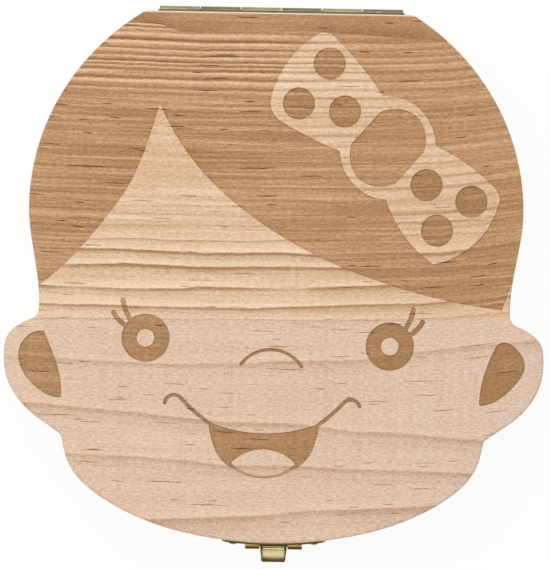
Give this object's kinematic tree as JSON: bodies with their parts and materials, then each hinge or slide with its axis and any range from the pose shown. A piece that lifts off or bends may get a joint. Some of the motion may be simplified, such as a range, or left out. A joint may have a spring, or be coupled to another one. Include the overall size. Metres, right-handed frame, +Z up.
{
  "type": "baby tooth box",
  "caption": "Wooden keepsake box in the outline of a baby's head: engraved smiling face and bow on a hinged lid, wells for milk teeth in the base, small brass latch at the chin.",
  "frame": {"origin": "on the flat underside of the base, in the middle of the head's outline to within 0.3 mm", "axes": "+Z up through the lid, +Y towards the hinge, -Y towards the latch at the chin, +X to the side with the bow"},
  "size_m": [0.12, 0.1258, 0.03],
  "materials": {
    "pine_base": "sanded bare pine with open milled wells",
    "pine_lid": "sanded bare pine, engraving scorched to a darker tan",
    "brass_sheet": "thin stamped sheet, lightly dulled",
    "brass_nails": "round heads, lightly polished",
    "steel_wire": "drawn wire, dark"
  },
  "bodies": {
    "base": {"base_block": "pine_base", "hinge_leaf_base": "brass_sheet", "hinge_pin": "steel_wire", "hinge_nails_base": "brass_nails", "catch_plate": "brass_sheet", "catch_nails": "brass_nails"},
    "lid": {"lid_board": "pine_lid", "hinge_leaf_lid": "brass_sheet", "hinge_nails_lid": "brass_nails", "latch_plate": "brass_sheet", "latch_pin": "steel_wire", "latch_nails": "brass_nails"},
    "latch": {"latch_tongue": "brass_sheet"}
  },
  "joints": [
    {"name": "lid_hinge", "type": "hinge", "parent": "base", "child": "lid", "pos_m": [0.0004, 0.06025, 0.02], "axis": [-1, 0, 0], "range_deg": [0, 170]},
    {"name": "latch_swing", "type": "hinge", "parent": "lid", "child": "latch", "pos_m": [0.0007, -0.05984, 0.022], "axis": [-1, 0, 0], "range_deg": [-15, 100]}
  ]
}
